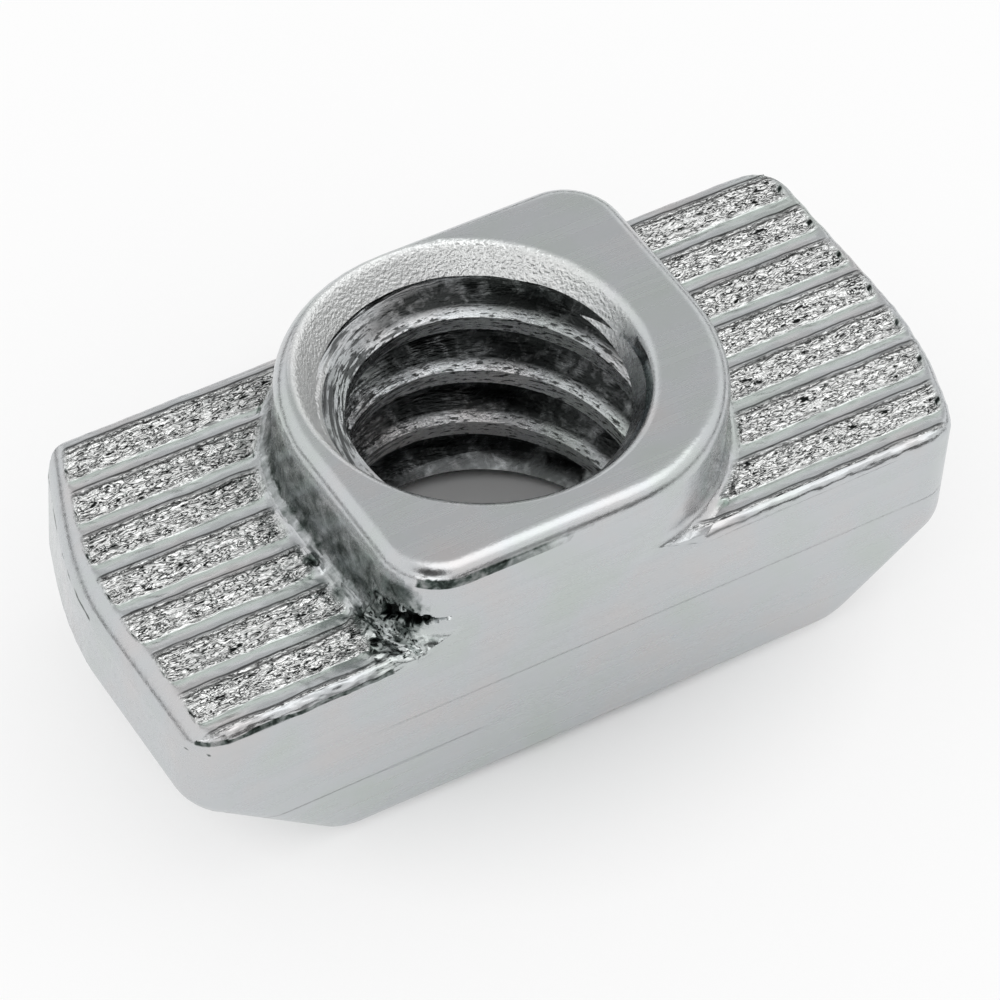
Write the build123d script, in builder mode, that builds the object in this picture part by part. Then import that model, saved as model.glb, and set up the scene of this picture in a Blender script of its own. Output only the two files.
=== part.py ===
from build123d import *

import os
from math import atan2, degrees, radians, sqrt, tan

# Drop-in nut for T-slot profile, cold forged in one piece and zinc plated. Millimetres.
# X runs along the nut, Y across it and Z up through the threaded hole.
# The origin is the middle of the flat bottom, on the axis of the hole.

# Bar: the long part that lies under the lips of the slot
body_width = 6.9
body_length = 15.3
wing_height = 3.8        # top of the two wings, one on each side of the boss
foot_length = 9.7        # flat bottom between the two sloping ends
slope_angle = 37.5       # of the sloping ends, from the bottom
corner_radius = 0.65     # upright corners
knuckle_radius = 1.1     # between the flat bottom and a slope
hem_radius = 0.35        # along the lower edge, all the way round the slopes and the bottom
rim_radius = 0.2         # along the top edge

# Boss: the block that stands in the slot and stops the nut after a quarter turn
boss_length = 7.6
boss_rise = 1.6          # above the wings
stop_radius = 1.05       # the two upright corners that meet the slot and stop the turn
crown_radius = 0.35      # along the top edge
flare_radius = 0.3       # hollow fillet between the boss and a wing

# Hole: tapping size for the thread, countersunk at both ends
core_diameter = 5.1
entry_widening = 0.55    # of the radius, at the top
entry_angle = 60         # of the whole cone
exit_widening = 0.35     # of the radius, at the bottom
exit_angle = 90

# Grip grooves pressed into the wings, side by side and along X
groove_pitch = 0.92
groove_width = 0.82
groove_floor = 0.1       # width of the flat along the bottom of a groove
groove_depth = 0.16
groove_end_land = 0.32   # plain wing between a groove and the end of the bar
groove_boss_land = 0.35  # plain wing between a groove and the boss

total_height = wing_height + boss_rise

# Two opposite corners of the bar lie on a circle, so that it turns inside the profile
swing_radius = body_length / 2

# The boss is round at the same two corners, so that it turns inside the slot
turn_radius = min(body_width, boss_length) / 2
turn_centre_x = boss_length / 2 - turn_radius
turn_centre_y = turn_radius - body_width / 2

slope_reach = swing_radius - foot_length / 2
slope_rise = slope_reach * tan(radians(slope_angle))

# The grooves fill the flat of the wing, from one rounded rim to the other
groove_count = int((body_width - 2 * rim_radius - groove_width) / groove_pitch) + 1
groove_taper = degrees(atan2((groove_width - groove_floor) / 2, groove_depth))


def groove_ends(y):
    """Where a groove on the +X wing starts and stops, when it runs at this y."""
    start = boss_length / 2
    if y < turn_centre_y:
        start = turn_centre_x + sqrt(turn_radius**2 - (y - turn_centre_y) ** 2)
    stop = swing_radius
    if y < 0:
        stop = sqrt(swing_radius**2 - y**2)
    return start + groove_boss_land, stop - groove_end_land


os.makedirs("parts", exist_ok=True)

with BuildPart() as nut:
    # Bar in plan: round ends, with two opposite corners left square
    with BuildSketch():
        Circle(swing_radius)
        Rectangle(body_length, body_width, mode=Mode.INTERSECT)
        with Locations((body_length / 4, body_width / 4), (-body_length / 4, -body_width / 4)):
            Rectangle(body_length / 2, body_width / 2)
    extrude(amount=wing_height)
    fillet(nut.edges().filter_by(Axis.Z), corner_radius)

    # Sloping ends, rounded where they meet the flat bottom and the upright ends
    with BuildSketch(Plane.XZ):
        with BuildLine():
            Polyline(
                (foot_length / 2, 0),
                (swing_radius, 0),
                (swing_radius, slope_rise),
                close=True,
            )
        make_face()
        mirror(about=Plane.YZ)
    extrude(amount=body_width / 2, both=True, mode=Mode.SUBTRACT)
    foot = nut.faces().sort_by(Axis.Z)[0]
    fillet(foot.edges().filter_by(Axis.Y), knuckle_radius)
    foot = nut.faces().sort_by(Axis.Z)[0]
    fillet(foot.edges().filter_by(Axis.X), hem_radius)
    wing_top = nut.faces().sort_by(Axis.Z)[-1]
    fillet(wing_top.edges(), rim_radius)

    # Grip grooves: slots with sloping walls and round ends, the same on both wings
    with BuildSketch(Plane.XY.offset(wing_height)):
        for row in range(groove_count):
            y = (row - (groove_count - 1) / 2) * groove_pitch
            start, stop = groove_ends(y)
            middle = (start + stop) / 2
            with Locations((middle, y), (-middle, -y)):
                SlotOverall(stop - start, groove_width)
    extrude(amount=-groove_depth, taper=groove_taper, mode=Mode.SUBTRACT)

    # Boss: flush with both long sides of the bar, so it also fills the rim between them
    with BuildSketch(Plane.XY.offset(wing_height - rim_radius)) as boss_plan:
        Rectangle(boss_length, body_width)
        corners = boss_plan.vertices().sort_by(lambda corner: corner.X - corner.Y)
        fillet((corners[0], corners[-1]), turn_radius)
        corners = boss_plan.vertices().sort_by(lambda corner: corner.X + corner.Y)
        fillet((corners[0], corners[-1]), stop_radius)
    extrude(amount=rim_radius + boss_rise)
    boss_top = nut.faces().sort_by(Axis.Z)[-1]
    fillet(boss_top.edges(), crown_radius)

    # Hollow fillet: follows the foot of the boss from one long side to the other
    for side in (1, -1):
        with BuildLine(Plane.XY.offset(wing_height)) as boss_foot:
            long_side = (side * turn_centre_x, -side * body_width / 2)
            end_face = (side * boss_length / 2, side * turn_centre_y)
            corner = (side * boss_length / 2, side * (body_width / 2 - stop_radius))
            far_side = (side * (boss_length / 2 - stop_radius), side * body_width / 2)
            RadiusArc(long_side, end_face, -turn_radius)
            Line(end_face, corner)
            RadiusArc(corner, far_side, -stop_radius)
        outward = Plane(
            origin=(*long_side, wing_height),
            x_dir=(0, -side, 0),
            z_dir=(-side, 0, 0),
        )
        with BuildSketch(outward):
            Rectangle(2 * flare_radius, 2 * flare_radius)
            with Locations((flare_radius, flare_radius)):
                Circle(flare_radius, mode=Mode.SUBTRACT)
        sweep(path=boss_foot.wire())
    standing = (Align.CENTER, Align.CENTER, Align.MIN)
    Box(body_length, body_width, total_height, align=standing, mode=Mode.INTERSECT)

    # Hole for the thread
    with Locations(Plane.XY.offset(total_height)):
        CounterSinkHole(
            core_diameter / 2,
            core_diameter / 2 + entry_widening,
            counter_sink_angle=entry_angle,
        )
    with Locations(-Plane.XY):
        CounterSinkHole(
            core_diameter / 2,
            core_diameter / 2 + exit_widening,
            counter_sink_angle=exit_angle,
        )

nut.part.label = "nut_body"
export_step(nut.part, "parts/nut_body.step")
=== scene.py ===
from math import cos, exp, pi, radians, sin, sqrt, tan

import bmesh
import bpy
from mathutils import Matrix, Vector, noise


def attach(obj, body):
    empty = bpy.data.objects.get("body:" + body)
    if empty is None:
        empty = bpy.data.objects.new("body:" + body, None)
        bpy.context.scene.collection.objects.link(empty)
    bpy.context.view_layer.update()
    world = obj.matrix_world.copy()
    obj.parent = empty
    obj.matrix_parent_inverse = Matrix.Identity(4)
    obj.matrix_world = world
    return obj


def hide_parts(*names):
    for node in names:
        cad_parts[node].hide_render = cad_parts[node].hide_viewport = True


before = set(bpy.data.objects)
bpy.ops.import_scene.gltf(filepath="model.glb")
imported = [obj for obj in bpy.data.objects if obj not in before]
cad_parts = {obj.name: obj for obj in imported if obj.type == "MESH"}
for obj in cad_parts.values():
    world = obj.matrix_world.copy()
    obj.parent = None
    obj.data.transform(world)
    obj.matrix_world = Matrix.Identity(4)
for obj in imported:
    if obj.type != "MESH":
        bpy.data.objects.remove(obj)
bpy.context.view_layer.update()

# ---------------------------------------------------------------------------
# Nut blank
# The real one is a single slug of low-carbon steel, cold forged to shape:
# sloping ends, two serrated wings and a boss that stands in the slot. The mesh
# starts as the solid itself, with its loose triangles joined.

MM = 0.001
body_half_length = 7.65 * MM
body_half_width = 3.45 * MM
wing_top = 3.8 * MM
boss_top = 5.4 * MM
mouth_radius = 3.1 * MM

blank = bmesh.new()
blank.from_mesh(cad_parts["nut_body"].data)
bmesh.ops.remove_doubles(blank, verts=blank.verts, dist=1e-7)

# The plain hole is closed up here, so that the tapped one is cut into whole metal
hole_reach = mouth_radius + 0.002 * MM
hole_wall = [f for f in blank.faces if all(v.co.xy.length < hole_reach for v in f.verts)]
bmesh.ops.delete(blank, geom=hole_wall, context="FACES")
bmesh.ops.holes_fill(blank, edges=[e for e in blank.edges if e.is_boundary], sides=0)
bmesh.ops.recalc_face_normals(blank, faces=blank.faces)

blank_mesh = bpy.data.meshes.new("nut")
blank.to_mesh(blank_mesh)
blank.free()
nut = bpy.data.objects.new("nut", blank_mesh)
bpy.context.scene.collection.objects.link(nut)

# ---------------------------------------------------------------------------
# Tapped hole
# A punched hole with a soft-edged lead-in at the top, a little off centre, then
# tapped right hand: a 60 degree thread, 1.27 mm to the turn, with flat crests.

core_radius = 2.55 * MM
thread_pitch = 1.27 * MM
root_radius = 3.14 * MM
root_flat = 0.3 * MM
exit_radius = 2.9 * MM
lead_in_centre = Vector((-0.38, 0.26, 0)) * MM
over = 0.3 * MM    # how far the cutters run out past the metal


def apply_modifiers(piece):
    """Turns a piece's modifiers into plain mesh."""
    evaluated = piece.evaluated_get(bpy.context.evaluated_depsgraph_get())
    finished = bpy.data.meshes.new_from_object(evaluated)
    piece.modifiers.clear()
    piece.data = finished


def cut(piece, tool_shape):
    """Cuts a closed bmesh out of a piece, and frees it."""
    bmesh.ops.recalc_face_normals(tool_shape, faces=tool_shape.faces)
    tool_mesh = bpy.data.meshes.new("cutter")
    tool_shape.to_mesh(tool_mesh)
    tool_shape.free()
    cutter = bpy.data.objects.new("cutter", tool_mesh)
    bpy.context.scene.collection.objects.link(cutter)
    boolean = piece.modifiers.new("cut", "BOOLEAN")
    boolean.operation = "DIFFERENCE"
    boolean.solver = "MANIFOLD"
    boolean.object = cutter
    apply_modifiers(piece)
    bpy.data.objects.remove(cutter)


def turned(profile, centre):
    """A closed solid turned on a lathe; its (radius, height) points begin and end on the axis."""
    shape = bmesh.new()
    corners = [shape.verts.new((centre.x + radius, centre.y, z)) for radius, z in profile]
    outline = [shape.edges.new(pair) for pair in zip(corners, corners[1:])]
    bmesh.ops.spin(
        shape, geom=corners + outline, cent=centre, axis=(0, 0, 1), angle=2 * pi, steps=144,
        use_merge=True,
    )
    bmesh.ops.remove_doubles(shape, verts=shape.verts, dist=1e-7)
    return shape


bore_profile = [
    (0, -over),
    (exit_radius + over, -over),
    (core_radius, exit_radius - core_radius),
    (core_radius, boss_top - 0.6 * MM),
    (0, boss_top - 0.6 * MM),
]
cut(nut, turned(bore_profile, Vector((0, 0, 0))))

# The lead-in rolls over from the top face into a cone that leans by 30 degrees
lead_in_slope = tan(radians(30))
lead_in_profile = [
    (0, boss_top + over),
    (3.17 * MM, boss_top + over),
    (3.17 * MM, boss_top + 0.03 * MM),
    (3.05 * MM, boss_top - 0.005 * MM),
    (2.98 * MM, boss_top - 0.03 * MM),
    (2.93 * MM, boss_top - 0.07 * MM),
    (2.885 * MM, boss_top - 0.13 * MM),
    (2.85 * MM, boss_top - 0.19 * MM),
    (2.43 * MM, boss_top - 0.92 * MM),
    (0, boss_top - 0.92 * MM),
]
cut(nut, turned(lead_in_profile, lead_in_centre))


def smoothstep(value):
    """0 below 0 and 1 above 1, with a smooth rise between."""
    value = min(max(value, 0), 1)
    return value * value * (3 - 2 * value)


# The tap's groove, a V with a flat root, wound up the hole. The lead-in closed over its top turn.
groove = bmesh.new()
turn_steps = 96
turns = 6
thread_foot = -0.74 * MM
inner_radius = core_radius - 0.2 * MM
flank_slope = tan(radians(30))
half_mouth = root_flat / 2 + (root_radius - inner_radius) * flank_slope
root_round = 0.06 * MM
fade_start = 4.6 * MM
fade_length = 0.8 * MM
tooth = [
    (inner_radius, -half_mouth),
    ((inner_radius + root_radius) / 2, -(half_mouth + root_flat / 2) / 2),
    (root_radius - root_round, -root_flat / 2 - root_round * flank_slope),
    (root_radius - root_round / 4, -root_flat / 2 + root_round),
    (root_radius, 0),
    (root_radius - root_round / 4, root_flat / 2 - root_round),
    (root_radius - root_round, root_flat / 2 + root_round * flank_slope),
    ((inner_radius + root_radius) / 2, (half_mouth + root_flat / 2) / 2),
    (inner_radius, half_mouth),
]
tooth_corners = [groove.verts.new((radius, 0, z + thread_foot)) for radius, z in tooth]
bmesh.ops.spin(
    groove,
    geom=[groove.faces.new(tooth_corners)],
    cent=(0, 0, 0),
    axis=(0, 0, 1),
    dvec=(0, 0, thread_pitch / turn_steps),
    angle=2 * pi * turns,
    steps=turn_steps * turns,
)
for vertex in groove.verts:
    radius = vertex.co.xy.length
    shallower = 0.9 * smoothstep((vertex.co.z - fade_start) / fade_length)
    vertex.co.xy *= (radius + (inner_radius - radius) * shallower) / radius
    vertex.co += noise.noise_vector(vertex.co / (0.45 * MM)) * 0.012 * MM
cut(nut, groove)

# ---------------------------------------------------------------------------
# Serrations
# The ridges of the wings are pressed in: the side of each that faces the front
# is torn into coarse scales, and the far side is smooth.

groove_pitch = 0.92 * MM
groove_depth = 0.16 * MM
mesh_step = 0.05 * MM
boss_half_length = 3.8 * MM
turn_radius = 3.45 * MM
left_end = -6.2 * MM    # where the end's rolled edge begins

shape = bmesh.new()
shape.from_mesh(nut.data)
in_bore = [v for v in shape.verts if v.co.xy.length < 3.25 * MM and v.co.z < boss_top - 0.005 * MM]
bmesh.ops.remove_doubles(shape, verts=in_bore, dist=0.006 * MM)
bmesh.ops.dissolve_degenerate(shape, edges=shape.edges, dist=0.0005 * MM)
top_plane = boss_top - 0.0005 * MM
flat_top = [v for v in shape.verts if v.co.z > top_plane]
top_edges = [e for e in shape.edges if all(v.co.z > top_plane for v in e.verts)]
bmesh.ops.dissolve_limit(shape, angle_limit=radians(0.5), verts=flat_top, edges=top_edges)


def slice_up(shape, inside, axis, start, stop, step):
    """Cuts the faces of a region along evenly spaced planes across one axis."""
    waiting = [f for f in shape.faces if inside(f.calc_center_median())]
    plane_normal = Vector([float(i == axis) for i in range(3)])
    place = start
    while place < stop:
        crossed, kept = [], []
        for face in waiting:
            reach = [v.co[axis] for v in face.verts]
            if min(reach) < place - 1e-7 and max(reach) > place + 1e-7:
                crossed.append(face)
            elif max(reach) > place:
                kept.append(face)
        parts = set(crossed)
        for face in crossed:
            parts.update(face.edges)
            parts.update(face.verts)
        cut_parts = bmesh.ops.bisect_plane(
            shape, geom=list(parts), dist=1e-8,
            plane_co=plane_normal * place, plane_no=plane_normal,
        )
        kept += [p for p in cut_parts["geom"] if isinstance(p, bmesh.types.BMFace)]
        waiting = kept
        place += step


def on_wing(point):
    """Whether a point is on the top of a wing, with its rim and the foot of the boss."""
    deep = 0.6 * MM if point.x < left_end else 0.22 * MM
    return wing_top - deep < point.z < wing_top + 0.1 * MM and point.xy.length > core_radius


def on_left_end(point):
    """Whether a point is on the upright part of the left end."""
    return point.x < left_end and 1.6 * MM < point.z < wing_top


slice_up(shape, on_wing, 1, -body_half_width, body_half_width, mesh_step)
slice_up(shape, on_wing, 0, -body_half_length, body_half_length, mesh_step)
slice_up(shape, on_left_end, 2, 3.2 * MM, wing_top, mesh_step)


def wing_reach(x, y):
    """Where the wing starts at the boss and ends at its rim, for the wing that holds a point."""
    if x < 0:
        y = -y
    inner = boss_half_length
    if y < 0:
        inner += sqrt(max(turn_radius ** 2 - y ** 2, 0)) - turn_radius
    outer = sqrt(body_half_length ** 2 - y ** 2) if y < 0 else body_half_length
    return inner, outer


def along_groove(x, y):
    """1 inside the length of a groove, 0 past its ends."""
    inner, outer = wing_reach(x, y)
    end_land = 0.27 * MM if x < 0 else 0.1 * MM
    wobble = noise.noise((x / (0.5 * MM), y / (0.9 * MM), 3)) * 0.08 * MM
    past_inner = smoothstep((abs(x) - inner - 0.2 * MM + wobble) / (0.2 * MM))
    return past_inner * smoothstep((outer - end_land - abs(x) + wobble) / (0.16 * MM))


def groove_profile(across):
    """Share of full depth across one groove, from its middle: gentle far slope, torn near slope."""
    side = across / MM
    if side < -0.1:
        return 0.5 * smoothstep((side + 0.46) / 0.36)
    if side < -0.03:
        return 0.5 + 0.5 * smoothstep((side + 0.1) / 0.07)
    return 1 - min(max((side + 0.03) / 0.46, 0), 1)


shape.normal_update()
grit_layer = shape.verts.layers.float.new("grit")
hollow_layer = shape.verts.layers.float.new("hollow")
# this layer holds real stains and painted shade alike
stain_and_shade_layer = shape.verts.layers.float.new("stain_and_painted_shade")
row_layer = shape.verts.layers.float.new("row")
moves = {}
for vertex in shape.verts:
    if not on_wing(vertex.co):
        continue
    x, y, z = vertex.co
    length_share = along_groove(x, y) * smoothstep((3.32 * MM - abs(y)) / (0.05 * MM))
    wander = noise.noise((x / (1.1 * MM), y / (0.5 * MM), 5)) * 0.03 * MM
    across = (y + wander + groove_pitch / 2) % groove_pitch - groove_pitch / 2
    depth = groove_profile(across) * length_share
    torn = smoothstep((across / MM + 0.2) / 0.06) * smoothstep((0.43 - across / MM) / 0.04)
    torn *= length_share
    vertex[grit_layer] = torn
    vertex[row_layer] = length_share
    vertex[hollow_layer] = smoothstep((depth - 0.05) / 0.3) * (1 - torn)
    # scales and waves of 0.1 to 0.5 mm, drawn out along the groove
    scales = noise.voronoi(Vector((x / (0.26 * MM), y / (0.11 * MM), 2)))[0][0]
    waves = noise.fractal(Vector((x / (0.5 * MM), y / (0.25 * MM), z / (0.3 * MM))), 1, 2, 3)
    inner, outer = wing_reach(x, y)
    faces_up = vertex.normal.z > 0.4 and z < wing_top + 0.005 * MM
    on_flat = faces_up and inner + 0.3 * MM < abs(x) < outer - 0.25 * MM and abs(y) < 3.22 * MM
    front_rim = smoothstep((-y / MM - 3.1) / 0.2)
    waviness = 0.012 + 0.012 * depth + (0.022 if x < 0 else 0.008) * front_rim
    step = vertex.normal * ((0.45 - scales) * 0.07 * torn + waves * waviness) * MM
    if on_flat:
        step.z += wing_top - z
    if faces_up:
        step.z -= depth * groove_depth
    # painted shade: a dark blot where each groove ends
    if vertex.normal.z > 0.2 and abs(x) > 4.2 * MM:
        in_middle = smoothstep((0.1 - abs(across / MM - 0.05)) / 0.1)
        at_end = smoothstep((length_share * (1 - length_share) - 0.1) / 0.1)
        vertex[stain_and_shade_layer] = in_middle * at_end
    moves[vertex] = step
for vertex, step in moves.items():
    vertex.co += step

# ---------------------------------------------------------------------------
# Marks of forging
# The blank filled its die a little short at one corner and lapped over itself at the
# foot of the boss. The flank beside it has a painted dark reflection, with painted shade in
# the hollow at its foot, and painted shade lies as dark lines under the boss's front edge
# and the left wing's rim.


def by_the_boss(point):
    """Whether a point is on the left flank of the boss or its foot."""
    return 3.9 * MM < point.z < 5.25 * MM and point.x < -1.2 * MM and point.y < 3.4 * MM


def by_the_corner(point):
    """Whether a point is on the front of the boss's left corner, near its foot."""
    across_it = -4.4 * MM < point.x < -2.7 * MM and point.y < -2.2 * MM
    return across_it and 3.7 * MM < point.z < 4.6 * MM


def on_the_front(point):
    """Whether a point is on the long flat side at the front."""
    return point.y < -body_half_width + 0.01 * MM


# which faces are cut up, across which axis, from where to where and how finely, in millimetres
for region, axis, start, stop, step in (
    (by_the_boss, 2, 3.9, 5.3, 0.08),
    (by_the_boss, 1, -3.45, 3.45, 0.08),
    (by_the_boss, 0, -4.2, -2.4, 0.08),
    (by_the_corner, 2, 3.7, 4.6, 0.05),
    (by_the_corner, 0, -4.4, -2.7, 0.05),
    (by_the_corner, 1, -3.45, -2.2, 0.05),
    (on_the_front, 2, 3.5, 3.65, 0.05),
):
    slice_up(shape, region, axis, start * MM, stop * MM, step * MM)
shape.normal_update()

# where the metal folded: place, radius and height of each lump, in millimetres
laps = [
    ((-4.12, -0.92, 3.82), 0.24, 0.07),
    ((-4.06, -1.72, 3.84), 0.22, 0.06),
    ((-3.98, -2.42, 3.86), 0.26, 0.09),
    ((-4.1, -2.98, 3.82), 0.22, 0.06),
    ((-3.82, -2.9, 4.0), 0.2, -0.08),
]


def darken(vertex, share):
    """Sets a vertex's share of stain and painted shade, unless it has more already."""
    vertex[stain_and_shade_layer] = max(vertex[stain_and_shade_layer], share)


# all lengths in this loop are in millimetres
for vertex in shape.verts:
    x, y, z = vertex.co / MM
    if x > -1 or z < 3.4:
        continue
    push = 0
    for centre, reach, height in laps:
        apart = (Vector((x, y, z)) - Vector(centre)).length / reach
        if apart < 2.2:
            bump = exp(-apart * apart)
            push += bump * height * (1 + 2.2 * noise.noise(vertex.co / (0.13 * MM)))
            if z > 3.7:
                darken(vertex, 0.62 * smoothstep(1.5 - apart))
    # a dark lap, shaped like a wedge, runs from the foot of the corner into the front face
    along = (x + 4.05) / 1.02
    if 0 < along < 1 and y < -2.6:
        half_height = 0.24 * (1 - along) + 0.015
        crinkle = 0.06 * noise.noise(vertex.co / (0.16 * MM))
        inside = smoothstep((half_height - abs(z - 4.16 - 0.2 * along + crinkle)) / 0.04)
        push -= 0.14 * inside
        darken(vertex, 1.2 * inside)
    # crinkled folds round the foot of that corner
    folded = smoothstep((-x - 3.3) / 0.3) * smoothstep((x + 4.45) / 0.3)
    folded *= smoothstep((-y - 1.9) / 0.5) * smoothstep((4.75 - z) / 0.3)
    folded *= smoothstep((z - 3.66) / 0.1)
    if folded > 0:
        crinkle = noise.noise(vertex.co / (0.2 * MM)) + 0.5 * noise.noise(vertex.co / (0.09 * MM))
        push += 0.06 * folded * crinkle
        darken(vertex, 1.2 * folded * smoothstep((0.07 - abs(crinkle)) / 0.05))
    # a painted dark reflection on the left flank of the boss, and painted shade in the hollow at
    # its foot
    if 3.82 < z < 5.2 and -4.4 < x < -1.2 and vertex.normal.z < 0.95:
        leftward = -vertex.normal.x
        flank = smoothstep((5.12 - z) / 0.25) * smoothstep((leftward - 0.4) / 0.4)
        foot = smoothstep((4.1 - z) / 0.15) * smoothstep((leftward - 0.15) / 0.2)
        darken(vertex, 0.6 * max(flank, 0.8 * foot))
    # and painted shade, a dark line, under the front edge of the boss's top
    if 5.04 < z < 5.22 and y < -3.1 and x < -1.6:
        darken(vertex, 0.75)
    # painted shade in a broken dark line under the left wing's rim, and a dark parting line along
    # its end where the dies met
    broken = smoothstep((noise.noise((x / 0.5, y / 0.5, 7)) + 0.4) / 0.2)
    if y < -3.2 and 3.58 < z < 3.68 and x < -4:
        darken(vertex, 0.7 * broken)
    if x < -6.5 and vertex.normal.x < -0.4 and 3.37 < z < 3.43:
        darken(vertex, 0.8 * broken)
    vertex.co += vertex.normal * push * MM

# the left end is rolled over along its top edge
end_roll = 0.5 * MM
for vertex in shape.verts:
    x, y, z = vertex.co
    if x > left_end or z < wing_top - end_roll:
        continue
    end_reach = wing_reach(x, y)[1]
    inset = max(end_roll - (end_reach + x), 0)
    rise = end_roll - (wing_top - z)
    corner = Vector((inset, rise)).length
    if corner > end_roll and inset > 0:
        vertex.co.x = -end_reach + end_roll - inset * end_roll / corner
        vertex.co.z = wing_top - end_roll + rise * end_roll / corner

# and its back corner, which the steel didn't fill, lies 0.3 mm short
for vertex in shape.verts:
    x, y, z = vertex.co / MM
    vertex.co.x += 0.31 * MM * smoothstep((-x - 5.0) / 2.6) * smoothstep((y + 0.5) / 3.9)

# Shaded smooth, but for the edges that turn by more than 35 degrees
shape.normal_update()
for face in shape.faces:
    face.smooth = True
for edge in shape.edges:
    edge.smooth = edge.calc_face_angle(0) < radians(35)
shape.to_mesh(nut.data)
shape.free()
weighted = nut.modifiers.new("weighted_normals", "WEIGHTED_NORMAL")
weighted.keep_sharp = True
apply_modifiers(nut)

# ---------------------------------------------------------------------------
# Plating
# Bright zinc plate over forged steel, passivated: satin on the flat faces, with
# long faint flow lines and a breath of green and blue. The torn metal of the
# serrations is brighter, with painted shade along its scale edges and in its pits,
# and the thread's roots and the bottom of the hole carry painted shade.


def linear(hex_colour):
    """sRGB hex to the linear RGBA that a shader socket takes."""
    channels = [int(hex_colour[i:i + 2], 16) / 255 for i in (1, 3, 5)]
    return (*[c / 12.92 if c <= 0.04045 else ((c + 0.055) / 1.055) ** 2.4 for c in channels], 1)


def add(tree, kind, inputs, **settings):
    """Adds a node with its settings, its fixed inputs and its links."""
    node = tree.nodes.new(kind)
    for name, value in settings.items():
        setattr(node, name, value)
    for socket, value in inputs.items():
        if isinstance(value, bpy.types.NodeSocket):
            tree.links.new(value, node.inputs[socket])
        else:
            node.inputs[socket].default_value = value
    return node


zinc = bpy.data.materials.new("bright_zinc_plate")
zinc.use_nodes = True
tree = zinc.node_tree
shader = tree.nodes["Principled BSDF"]
place = add(tree, "ShaderNodeTexCoord", {}).outputs["Object"]

# what the mesh carries: torn metal, the smooth slope of a groove, stains together with painted
# shade, and a groove's length
grit = add(tree, "ShaderNodeAttribute", {}, attribute_name="grit").outputs["Fac"]
hollow = add(tree, "ShaderNodeAttribute", {}, attribute_name="hollow").outputs["Fac"]
# this attribute carries real stains and painted shade together
stain_and_painted_shade = add(tree, "ShaderNodeAttribute", {}, attribute_name="stain_and_painted_shade").outputs["Fac"]
row = add(tree, "ShaderNodeAttribute", {}, attribute_name="row").outputs["Fac"]

# where a point lies: along the nut, across it and up, and out from the axis of the hole
spot = add(tree, "ShaderNodeSeparateXYZ", {0: place})
in_plan = add(tree, "ShaderNodeVectorMath", {0: place, 1: (1, 1, 0)}, operation="MULTIPLY")
radius = add(tree, "ShaderNodeVectorMath", {
    0: in_plan.outputs[0],
}, operation="LENGTH").outputs["Value"]

# tints drift over 2 mm or so, from green to blue to pink
drift = add(tree, "ShaderNodeTexNoise", {"Vector": place, "Scale": 1 / (1.6 * MM), "Detail": 3.0})
tint = add(tree, "ShaderNodeValToRGB", {0: drift.outputs["Fac"]})
tint.color_ramp.elements[0].position = 0.3
tint.color_ramp.elements[0].color = linear("#C2C8C5")
tint.color_ramp.elements[1].position = 0.7
tint.color_ramp.elements[1].color = linear("#CAC8C8")
tint.color_ramp.elements.new(0.5).color = linear("#C6C9CB")

# flow lines of the steel, drawn out along the nut, about 0.1 mm apart
drawn_out = add(tree, "ShaderNodeMapping", {"Vector": place, "Scale": (0.03, 1, 1)})
flow = add(tree, "ShaderNodeTexNoise", {
    "Vector": drawn_out.outputs[0], "Scale": 1 / (0.13 * MM), "Detail": 4.0, "Roughness": 0.6,
})
grain = add(tree, "ShaderNodeTexNoise", {"Vector": place, "Scale": 1 / (0.07 * MM), "Detail": 3.0})

# torn scales in the serrations, about 0.3 mm long and 0.08 mm wide, with painted shade along their
# edges and in their pits
scaly = add(tree, "ShaderNodeMapping", {"Vector": place, "Scale": (0.28, 1, 1)})
torn_noise = add(tree, "ShaderNodeTexNoise", {
    "Vector": scaly.outputs[0], "Scale": 1 / (0.08 * MM), "Detail": 2.5, "Roughness": 0.6,
    "Distortion": 0.4,
})
off_middle = add(tree, "ShaderNodeMath", {
    0: torn_noise.outputs["Fac"], 1: 0.5,
}, operation="SUBTRACT")
off_edge = add(tree, "ShaderNodeMath", {0: off_middle.outputs[0]}, operation="ABSOLUTE")
scale_edge_shade = add(tree, "ShaderNodeMapRange", {
    0: off_edge.outputs[0], "From Min": 0.012, "From Max": 0.04, "To Min": 1.0, "To Max": 0.0,
})
pit_shade = add(tree, "ShaderNodeMapRange", {
    0: torn_noise.outputs["Fac"], "From Min": 0.34, "From Max": 0.4, "To Min": 1.0, "To Max": 0.0,
})
scale_shade = add(tree, "ShaderNodeMath", {
    0: scale_edge_shade.outputs[0], 1: pit_shade.outputs[0],
}, operation="MAXIMUM")
scale_shades = add(tree, "ShaderNodeMath", {0: scale_shade.outputs[0], 1: grit}, operation="MULTIPLY")

# painted shade: thin dark lines along both edges of each ridge's top, about 0.03 mm wide. They
# wander, and lie 0.045 of a pitch off the middle of the ridge.
waver = add(tree, "ShaderNodeTexNoise", {"Vector": place, "Scale": 1 / (0.7 * MM), "Detail": 2.0})
wavered = add(tree, "ShaderNodeMath", {
    0: waver.outputs["Fac"], 1: 0.07 * MM, 2: spot.outputs["Y"],
}, operation="MULTIPLY_ADD")
in_pitch = add(tree, "ShaderNodeMath", {0: wavered.outputs[0], 1: groove_pitch}, operation="DIVIDE")
shifted = add(tree, "ShaderNodeMath", {0: in_pitch.outputs[0], 1: 0.48}, operation="SUBTRACT")
nearest = add(tree, "ShaderNodeMath", {0: shifted.outputs[0]}, operation="ROUND")
from_nearest = add(tree, "ShaderNodeMath", {
    0: shifted.outputs[0], 1: nearest.outputs[0],
}, operation="SUBTRACT")
from_top = add(tree, "ShaderNodeMath", {0: from_nearest.outputs[0]}, operation="ABSOLUTE")
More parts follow.
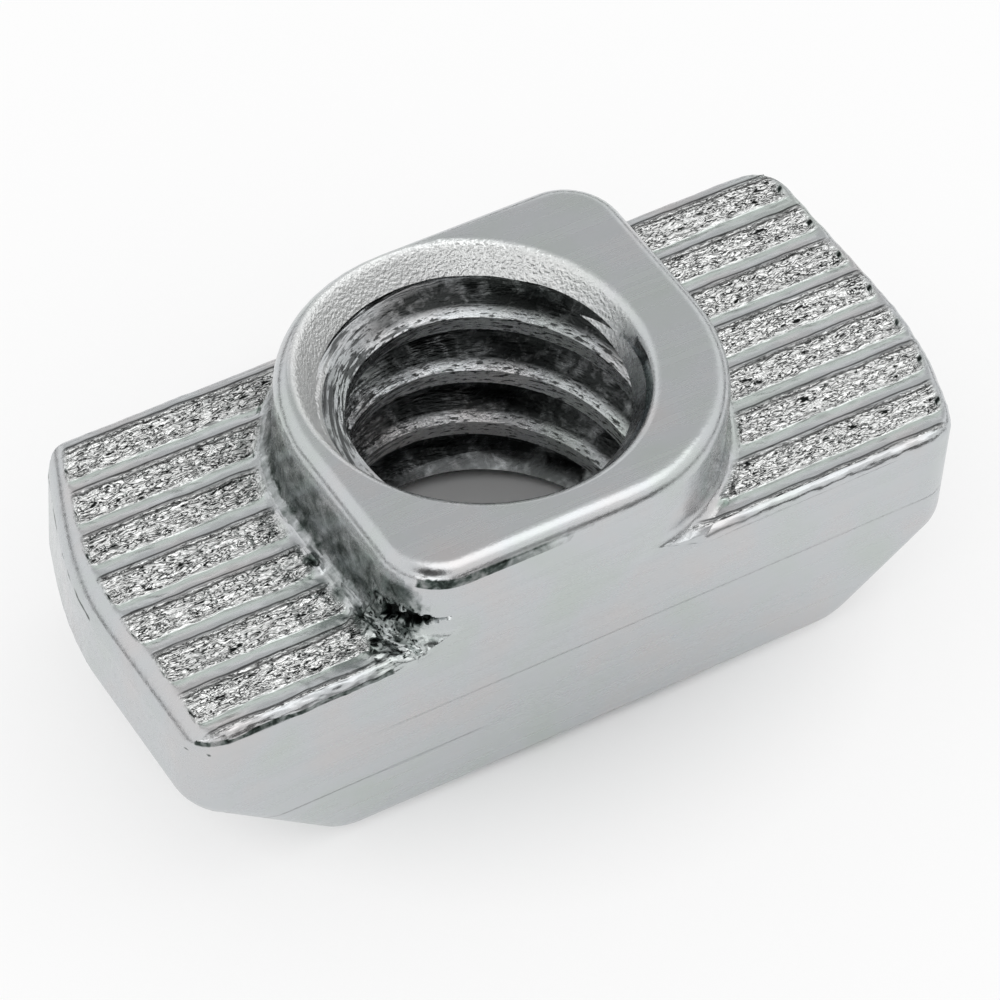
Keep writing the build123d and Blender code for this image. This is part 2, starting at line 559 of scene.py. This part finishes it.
crease_size = add(tree, "ShaderNodeMath", {0: from_top.outputs[0], 1: 0.045}, operation="SUBTRACT")
crease_near = add(tree, "ShaderNodeMath", {0: crease_size.outputs[0]}, operation="ABSOLUTE")
crease_shade = add(tree, "ShaderNodeMapRange", {
    0: crease_near.outputs[0], "From Min": 0.01, "From Max": 0.026, "To Min": 0.8, "To Max": 0.0,
})
crease_shades = add(tree, "ShaderNodeMath", {0: crease_shade.outputs[0], 1: row}, operation="MULTIPLY")

# patches of about 0.3 mm, for the dark scale and painted shade, and for the painted shade in the
# hole
patches = add(tree, "ShaderNodeTexNoise", {
    "Vector": place, "Scale": 1 / (0.3 * MM), "Detail": 4.0, "Roughness": 0.65, "Distortion": 0.5,
})

# the tapped length of the hole, below the lead-in
below_lead_in = add(tree, "ShaderNodeMapRange", {
    0: spot.outputs["Z"], "From Min": 4.42 * MM, "From Max": 4.6 * MM,
    "To Min": 1.0, "To Max": 0.0,
})

# painted shade out in the root of the thread, clear of the lead-in cone, and darker towards the
# bottom of the hole
above = add(tree, "ShaderNodeMath", {0: spot.outputs["Z"], 1: 4.45 * MM}, operation="SUBTRACT")
cone = add(tree, "ShaderNodeMath", {0: above.outputs[0], 1: lead_in_slope}, operation="MULTIPLY")
cone_out = add(tree, "ShaderNodeMath", {0: cone.outputs[0], 1: 0}, operation="MAXIMUM")
beyond = add(tree, "ShaderNodeMath", {0: radius, 1: cone_out.outputs[0]}, operation="SUBTRACT")
root_shade = add(tree, "ShaderNodeMapRange", {
    0: beyond.outputs[0], "From Min": 2.63 * MM, "From Max": 2.76 * MM,
    "To Min": 0.0, "To Max": 0.96,
})
in_hole = add(tree, "ShaderNodeMath", {0: radius, 1: 3.2 * MM}, operation="LESS_THAN")
over_exit = add(tree, "ShaderNodeMath", {
    0: spot.outputs["Z"], 1: 0.45 * MM,
}, operation="GREATER_THAN")
bore_only = add(tree, "ShaderNodeMath", {
    0: in_hole.outputs[0], 1: over_exit.outputs[0],
}, operation="MULTIPLY")
to_the_left = add(tree, "ShaderNodeVectorMath", {
    0: place, 1: (-0.82, 0.57, 0),
}, operation="DOT_PRODUCT")
root_shade_there = add(tree, "ShaderNodeMapRange", {
    0: to_the_left.outputs["Value"], "From Min": 1.9 * MM, "From Max": 2.6 * MM,
    "To Min": 1.0, "To Max": 0.15,
})
low_down = add(tree, "ShaderNodeMapRange", {
    0: spot.outputs["Z"], "From Min": 0.6 * MM, "From Max": 2.0 * MM,
    "To Min": 0.85, "To Max": 0.0,
})
root_shade_only = add(tree, "ShaderNodeMath", {
    0: root_shade.outputs[0], 1: bore_only.outputs[0],
}, operation="MULTIPLY")
upper_hole_shade = add(tree, "ShaderNodeMath", {
    0: root_shade_only.outputs[0], 1: root_shade_there.outputs[0],
}, operation="MULTIPLY")
lower_hole_shade = add(tree, "ShaderNodeMath", {
    0: low_down.outputs[0], 1: in_hole.outputs[0],
}, operation="MULTIPLY")
full_hole_shade = add(tree, "ShaderNodeMath", {
    0: upper_hole_shade.outputs[0], 1: lower_hole_shade.outputs[0],
}, operation="MAXIMUM")
# the painted shade in the hole is broken into patches
shade_patches = add(tree, "ShaderNodeMapRange", {
    0: patches.outputs["Fac"], "From Min": 0.5, "From Max": 0.7, "To Min": 1.0, "To Max": 0.7,
})
patchy_hole_shade = add(tree, "ShaderNodeMath", {
    0: full_hole_shade.outputs[0], 1: shade_patches.outputs[0],
}, operation="MULTIPLY")
hole_shade = add(tree, "ShaderNodeMath", {
    0: patchy_hole_shade.outputs[0], 1: below_lead_in.outputs[0],
}, operation="MULTIPLY")

# the lead-in cone, which the punch left bright and grainy
round_lead_in = add(tree, "ShaderNodeVectorMath", {
    0: in_plan.outputs[0], 1: tuple(lead_in_centre),
}, operation="DISTANCE").outputs["Value"]
lead_in_cone = add(tree, "ShaderNodeMath", {
    0: spot.outputs["Z"], 1: lead_in_slope, 2: 2.87 * MM - boss_top * lead_in_slope,
}, operation="MULTIPLY_ADD")
off_cone = add(tree, "ShaderNodeMath", {
    0: round_lead_in, 1: lead_in_cone.outputs[0],
}, operation="SUBTRACT")
off_cone_size = add(tree, "ShaderNodeMath", {0: off_cone.outputs[0]}, operation="ABSOLUTE")
on_cone = add(tree, "ShaderNodeMapRange", {
    0: off_cone_size.outputs[0], "From Min": 0.08 * MM, "From Max": 0.2 * MM,
    "To Min": 1.0, "To Max": 0.0,
})
high_up = add(tree, "ShaderNodeMath", {
    0: spot.outputs["Z"], 1: 4.55 * MM,
}, operation="GREATER_THAN")
whole_lead_in = add(tree, "ShaderNodeMath", {
    0: on_cone.outputs[0], 1: high_up.outputs[0],
}, operation="MULTIPLY")
to_the_back = add(tree, "ShaderNodeVectorMath", {
    0: place, 1: (-0.24, 0.97, 0),
}, operation="DOT_PRODUCT")
punched_side = add(tree, "ShaderNodeMapRange", {
    0: to_the_back.outputs["Value"], "From Min": -0.9 * MM, "From Max": 1.1 * MM,
})
lead_in_share = add(tree, "ShaderNodeMath", {
    0: whole_lead_in.outputs[0], 1: punched_side.outputs[0],
}, operation="MULTIPLY")

# fine rings that the tap left in the thread, about 0.05 mm apart
bearing = add(tree, "ShaderNodeMath", {
    0: spot.outputs["Y"], 1: spot.outputs["X"],
}, operation="ARCTAN2")
drawn_round = add(tree, "ShaderNodeMath", {
    0: bearing.outputs[0], 1: 0.15 * MM,
}, operation="MULTIPLY")
ring_place = add(tree, "ShaderNodeCombineXYZ", {
    0: radius, 1: spot.outputs["Z"], 2: drawn_round.outputs[0],
})
rings = add(tree, "ShaderNodeTexNoise", {
    "Vector": ring_place.outputs[0], "Scale": 1 / (0.05 * MM), "Detail": 1.0,
})
tapped = add(tree, "ShaderNodeMath", {
    0: bore_only.outputs[0], 1: whole_lead_in.outputs[0],
}, operation="SUBTRACT")
tapped_only = add(tree, "ShaderNodeMath", {0: tapped.outputs[0], 1: 0}, operation="MAXIMUM")
ring_dark = add(tree, "ShaderNodeMapRange", {
    0: rings.outputs["Fac"], "From Min": 0.52, "From Max": 0.58, "To Min": 0.0, "To Max": 0.8,
})
left_share = add(tree, "ShaderNodeMapRange", {
    0: to_the_left.outputs["Value"], "From Min": 0.6 * MM, "From Max": 2.0 * MM,
})
tapped_left = add(tree, "ShaderNodeMath", {
    0: tapped_only.outputs[0], 1: left_share.outputs[0],
}, operation="MULTIPLY")
ring_lines = add(tree, "ShaderNodeMath", {
    0: ring_dark.outputs[0], 1: tapped_left.outputs[0],
}, operation="MULTIPLY")

# dark scale, in patches, where the stain attribute is set, and black where it is highest; the
# attribute holds real stains and painted shade alike
patchy = add(tree, "ShaderNodeMath", {0: patches.outputs["Fac"], 1: stain_and_painted_shade}, operation="ADD")
scale_and_shade_share = add(tree, "ShaderNodeMapRange", {
    0: patchy.outputs[0], "From Min": 0.78, "From Max": 1.25,
})
black_and_shade_share = add(tree, "ShaderNodeMapRange", {
    0: patchy.outputs[0], "From Min": 1.2, "From Max": 1.36,
})

# black specks where the tap tore the crests, about 0.05 mm across
tear_place = add(tree, "ShaderNodeVectorMath", {
    0: ring_place.outputs[0], 1: (1, 1, 4),
}, operation="MULTIPLY")
tears = add(tree, "ShaderNodeTexNoise", {
    "Vector": tear_place.outputs[0], "Scale": 1 / (0.05 * MM), "Detail": 3.0, "Roughness": 0.6,
})
speck = add(tree, "ShaderNodeMapRange", {
    0: tears.outputs["Fac"], "From Min": 0.4, "From Max": 0.46, "To Min": 0.9, "To Max": 0.0,
})
torn_crests = add(tree, "ShaderNodeMath", {
    0: tapped_only.outputs[0], 1: below_lead_in.outputs[0],
}, operation="MULTIPLY")
specks = add(tree, "ShaderNodeMath", {
    0: speck.outputs[0], 1: torn_crests.outputs[0],
}, operation="MULTIPLY")

# where several dark marks and painted shades meet, the darkest shows
hole_shade_and_specks = add(tree, "ShaderNodeMath", {
    0: hole_shade.outputs[0], 1: specks.outputs[0],
}, operation="MAXIMUM")
lined = add(tree, "ShaderNodeMath", {
    0: hole_shade_and_specks.outputs[0], 1: ring_lines.outputs[0],
}, operation="MAXIMUM")
darkness = add(tree, "ShaderNodeMath", {
    0: scale_shades.outputs[0], 1: lined.outputs[0],
}, operation="MAXIMUM")
crease_shaded = add(tree, "ShaderNodeMath", {
    0: darkness.outputs[0], 1: crease_shades.outputs[0],
}, operation="MAXIMUM")
blackness = add(tree, "ShaderNodeMath", {
    0: crease_shaded.outputs[0], 1: black_and_shade_share.outputs[0],
}, operation="MAXIMUM")

# the colours, laid one over another: plate, torn metal, scale with painted shade, and the dark
# marks with painted shade
greened = add(tree, "ShaderNodeMix", {
    0: hollow, 6: tint.outputs["Color"], 7: linear("#BFC8C3"),
}, data_type="RGBA")
bare = add(tree, "ShaderNodeMath", {0: grit, 1: lead_in_share.outputs[0]}, operation="MAXIMUM")
torn_metal = add(tree, "ShaderNodeMix", {
    0: bare.outputs[0], 6: greened.outputs[2], 7: linear("#EFF0EF"),
}, data_type="RGBA")
scaled_and_shaded = add(tree, "ShaderNodeMix", {
    0: scale_and_shade_share.outputs[0], 6: torn_metal.outputs[2], 7: linear("#47514D"),
}, data_type="RGBA")
marked_and_shaded = add(tree, "ShaderNodeMix", {
    0: blackness.outputs[0], 6: scaled_and_shaded.outputs[2], 7: linear("#1B1E1D"),
}, data_type="RGBA")
tree.links.new(marked_and_shaded.outputs[2], shader.inputs["Base Color"])

# satin, with the flow lines in it; the punched lead-in is rougher, and paler at its left
gloss = add(tree, "ShaderNodeMapRange", {
    0: flow.outputs["Fac"], "From Min": 0.3, "From Max": 0.7, "To Min": 0.2, "To Max": 0.32,
})
matt = add(tree, "ShaderNodeMath", {
    0: lead_in_share.outputs[0], 1: 0.08, 2: gloss.outputs[0],
}, operation="MULTIPLY_ADD")
tree.links.new(matt.outputs[0], shader.inputs["Roughness"])
matt_left = add(tree, "ShaderNodeMath", {
    0: lead_in_share.outputs[0], 1: left_share.outputs[0],
}, operation="MULTIPLY")
metal_share = add(tree, "ShaderNodeMath", {
    0: matt_left.outputs[0], 1: -0.5, 2: 1.0,
}, operation="MULTIPLY_ADD")
tree.links.new(metal_share.outputs[0], shader.inputs["Metallic"])

# two faint steps along the long sides, about 1.27 and 2.3 mm up, where the dies met. They
# wander by 0.05 mm; the lower is at the left only, and the upper fades before the left end.
wandering = add(tree, "ShaderNodeTexNoise", {
    "Vector": drawn_out.outputs[0], "Scale": 1 / (0.4 * MM),
})
wandered = add(tree, "ShaderNodeMath", {
    0: wandering.outputs["Fac"], 1: 0.12 * MM, 2: spot.outputs["Z"],
}, operation="MULTIPLY_ADD")
upper_step = add(tree, "ShaderNodeMapRange", {
    0: wandered.outputs[0], "From Min": 2.34 * MM, "From Max": 2.38 * MM,
})
lower_step = add(tree, "ShaderNodeMapRange", {
    0: wandered.outputs[0], "From Min": 1.31 * MM, "From Max": 1.34 * MM,
})
left_half = add(tree, "ShaderNodeMapRange", {
    0: spot.outputs["X"], "From Min": -2.6 * MM, "From Max": -1.4 * MM,
    "To Min": 1.0, "To Max": 0.0,
})
middle_part = add(tree, "ShaderNodeMapRange", {
    0: spot.outputs["X"], "From Min": -5.0 * MM, "From Max": -4.0 * MM,
})
middle_step = add(tree, "ShaderNodeMath", {
    0: upper_step.outputs[0], 1: middle_part.outputs[0],
}, operation="MULTIPLY")
steps = add(tree, "ShaderNodeMath", {
    0: lower_step.outputs[0], 1: left_half.outputs[0], 2: middle_step.outputs[0],
}, operation="MULTIPLY_ADD")

# the relief, from the finest up: grain, flow lines, the two steps and the torn scales
fine = add(tree, "ShaderNodeBump", {"Height": grain.outputs["Fac"], "Distance": 0.003 * MM})
lines = add(tree, "ShaderNodeBump", {
    "Height": flow.outputs["Fac"], "Distance": 0.003 * MM, "Normal": fine.outputs[0],
})
stepped = add(tree, "ShaderNodeBump", {
    "Height": steps.outputs[0], "Distance": 0.01 * MM, "Normal": lines.outputs[0],
})
gritty = add(tree, "ShaderNodeMath", {0: torn_noise.outputs["Fac"], 1: grit}, operation="MULTIPLY")
scales_bump = add(tree, "ShaderNodeBump", {
    "Height": gritty.outputs[0], "Distance": 0.12 * MM, "Normal": stepped.outputs[0],
})

# and in the hole, the grain of the punched lead-in, the rings and the torn crests
punched = add(tree, "ShaderNodeTexNoise", {
    "Vector": place, "Scale": 1 / (0.06 * MM), "Detail": 2.0,
})
punched_share = add(tree, "ShaderNodeMath", {
    0: punched.outputs["Fac"], 1: lead_in_share.outputs[0],
}, operation="MULTIPLY")
punched_bump = add(tree, "ShaderNodeBump", {
    "Height": punched_share.outputs[0], "Distance": 0.035 * MM, "Normal": scales_bump.outputs[0],
})
ringed = add(tree, "ShaderNodeMath", {
    0: rings.outputs["Fac"], 1: tapped_left.outputs[0],
}, operation="MULTIPLY")
speckled = add(tree, "ShaderNodeMath", {
    0: tears.outputs["Fac"], 1: torn_crests.outputs[0],
}, operation="MULTIPLY")
rings_share = add(tree, "ShaderNodeMath", {
    0: ringed.outputs[0], 1: speckled.outputs[0],
}, operation="ADD")
rings_bump = add(tree, "ShaderNodeBump", {
    "Height": rings_share.outputs[0], "Distance": 0.02 * MM, "Normal": punched_bump.outputs[0],
})
tree.links.new(rings_bump.outputs[0], shader.inputs["Normal"])

nut.data.materials.clear()
nut.data.materials.append(zinc)
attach(nut, "root")
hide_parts("nut_body")

# ---------------------------------------------------------------------------
# Studio
# A sheet of white paper under an even white sky. Dark, grey and bright cards stand
# far off for the bright metal to mirror, and nothing else sees them.

floor_shape = bmesh.new()
bmesh.ops.create_grid(floor_shape, x_segments=1, y_segments=1, size=1500 * MM)
floor_mesh = bpy.data.meshes.new("floor")
floor_shape.to_mesh(floor_mesh)
floor_shape.free()
floor = bpy.data.objects.new("floor", floor_mesh)
bpy.context.scene.collection.objects.link(floor)
paper = bpy.data.materials.new("white_paper")
paper.use_nodes = True
paper_tree = paper.node_tree
paper_shader = paper_tree.nodes["Principled BSDF"]
paper_shader.inputs["Base Color"].default_value = linear("#FBFBFB")
paper_shader.inputs["Roughness"].default_value = 0.9
paper_shader.inputs["Specular IOR Level"].default_value = 0

# the paper glows where it lies more than 3.5 mm out, so that only the nut's own shadow is grey
glow = add(paper_tree, "ShaderNodeEmission", {"Color": (1, 1, 1, 1), "Strength": 1.0})
rays = add(paper_tree, "ShaderNodeLightPath", {})
seen = add(paper_tree, "ShaderNodeMath", {
    0: rays.outputs["Is Camera Ray"], 1: rays.outputs["Is Glossy Ray"],
}, operation="MAXIMUM")
seen_through = add(paper_tree, "ShaderNodeMath", {
    0: seen.outputs[0], 1: rays.outputs["Is Transmission Ray"],
}, operation="MAXIMUM")
floor_place = add(paper_tree, "ShaderNodeTexCoord", {}).outputs["Object"]
from_nut = add(paper_tree, "ShaderNodeVectorMath", {
    0: floor_place,
}, operation="LENGTH").outputs["Value"]
away = add(paper_tree, "ShaderNodeMapRange", {
    0: from_nut, "From Min": 3.5 * MM, "From Max": 7 * MM, "To Min": 0.0, "To Max": 0.6,
})
share = add(paper_tree, "ShaderNodeMath", {
    0: seen_through.outputs[0], 1: away.outputs[0],
}, operation="MULTIPLY")
blend = add(paper_tree, "ShaderNodeMixShader", {
    "Fac": share.outputs[0], 1: paper_shader.outputs["BSDF"], 2: glow.outputs["Emission"],
})
paper_tree.links.new(blend.outputs["Shader"], paper_tree.nodes["Material Output"].inputs["Surface"])
floor_mesh.materials.append(paper)

world = bpy.data.worlds.new("studio")
world.use_nodes = True
world.node_tree.nodes["Background"].inputs["Color"].default_value = (1, 1, 1, 1)
world.node_tree.nodes["Background"].inputs["Strength"].default_value = 1.0
bpy.context.scene.world = world


def card(name, card_shape, tone):
    """A card of one tone that only reflections see."""
    card_mesh = bpy.data.meshes.new(name)
    card_shape.to_mesh(card_mesh)
    card_shape.free()
    piece = bpy.data.objects.new(name, card_mesh)
    bpy.context.scene.collection.objects.link(piece)
    paint = bpy.data.materials.new(name)
    paint.use_nodes = True
    paint.node_tree.nodes.clear()
    card_glow = add(paint.node_tree, "ShaderNodeEmission", {"Color": (tone, tone, tone, 1)})
    add(paint.node_tree, "ShaderNodeOutputMaterial", {"Surface": card_glow.outputs["Emission"]})
    card_mesh.materials.append(paint)
    piece.visible_camera = False
    piece.visible_diffuse = False
    piece.visible_shadow = False
    return piece


studio_radius = 400 * MM
skirting_height = 50 * MM
skirting = bmesh.new()
bmesh.ops.create_cone(
    skirting, segments=64, radius1=studio_radius, radius2=studio_radius, depth=skirting_height,
    cap_ends=False,
)
bmesh.ops.translate(skirting, verts=skirting.verts, vec=(0, 0, skirting_height / 2 + 1 * MM))
card("dark_skirting", skirting, 0.02)

front_board = bmesh.new()
bmesh.ops.create_grid(front_board, x_segments=1, y_segments=1, size=0.5)
bmesh.ops.scale(front_board, verts=front_board.verts, vec=(300 * MM, 130 * MM, 1))
front_side = Vector((0.39, -0.92, 0))
face_front = front_side.to_track_quat("Z", "Y").to_matrix()
front_place = front_side * 380 * MM + Vector((0, 0, 67 * MM))
bmesh.ops.rotate(front_board, verts=front_board.verts, cent=(0, 0, 0), matrix=face_front)
bmesh.ops.translate(front_board, verts=front_board.verts, vec=front_place)
card("dark_front_board", front_board, 0.02)

ceiling = bmesh.new()
bmesh.ops.create_grid(ceiling, x_segments=1, y_segments=1, size=350 * MM)
bmesh.ops.translate(ceiling, verts=ceiling.verts, vec=(250 * MM, 420 * MM, 400 * MM))
card("grey_ceiling", ceiling, 0.66)

low_box = bmesh.new()
bmesh.ops.create_grid(low_box, x_segments=1, y_segments=1, size=0.5)
bmesh.ops.scale(low_box, verts=low_box.verts, vec=(320 * MM, 190 * MM, 1))
low_side = Vector((-0.57, -0.8, 0.26))
face_low = low_side.to_track_quat("Z", "Y").to_matrix()
bmesh.ops.rotate(low_box, verts=low_box.verts, cent=(0, 0, 0), matrix=face_low)
bmesh.ops.translate(low_box, verts=low_box.verts, vec=low_side * 380 * MM)
card("low_softbox", low_box, 1.7)

softbox = bmesh.new()
bmesh.ops.create_grid(softbox, x_segments=1, y_segments=1, size=0.5)
bmesh.ops.scale(softbox, verts=softbox.verts, vec=(400 * MM, 250 * MM, 1))
bmesh.ops.translate(softbox, verts=softbox.verts, vec=(130 * MM, -100 * MM, 330 * MM))
card("overhead_softbox", softbox, 1.7)

camera_side = Vector((-0.39, -0.56, 0.73))
screen = bmesh.new()
bmesh.ops.create_circle(screen, cap_ends=True, segments=32, radius=110 * MM)
face_camera = camera_side.to_track_quat("Z", "Y").to_matrix()
bmesh.ops.rotate(screen, verts=screen.verts, cent=(0, 0, 0), matrix=face_camera)
bmesh.ops.translate(screen, verts=screen.verts, vec=camera_side * 290 * MM)
card("dark_behind_the_camera", screen, 0.03)

# ---------------------------------------------------------------------------
# Camera
# A long lens looks down from the front left, and is turned a little about its own
# axis.

azimuth, elevation, roll = radians(-34.87), radians(46.86), radians(4.52)
distance = 89.47 * MM
back = Vector((sin(azimuth) * cos(elevation), -cos(azimuth) * cos(elevation), sin(elevation)))
level = Vector((cos(azimuth), sin(azimuth), 0))
upright = back.cross(level)
right = level * cos(roll) + upright * sin(roll)
up = upright * cos(roll) - level * sin(roll)
aim_right, aim_up = 0.2357, 1.5738    # of the origin, in millimetres
aim = (right * aim_right + up * aim_up) * MM
camera = bpy.data.objects.new("camera", bpy.data.cameras.new("camera"))
turned_to_nut = Matrix((right, up, back)).transposed().to_4x4()
camera.matrix_world = Matrix.Translation(aim + back * distance) @ turned_to_nut
camera.data.sensor_width = 36
camera.data.lens = 189.3
camera.data.clip_start = 1 * MM
bpy.context.scene.collection.objects.link(camera)
bpy.context.scene.camera = camera
bpy.context.scene.view_settings.view_transform = "Standard"
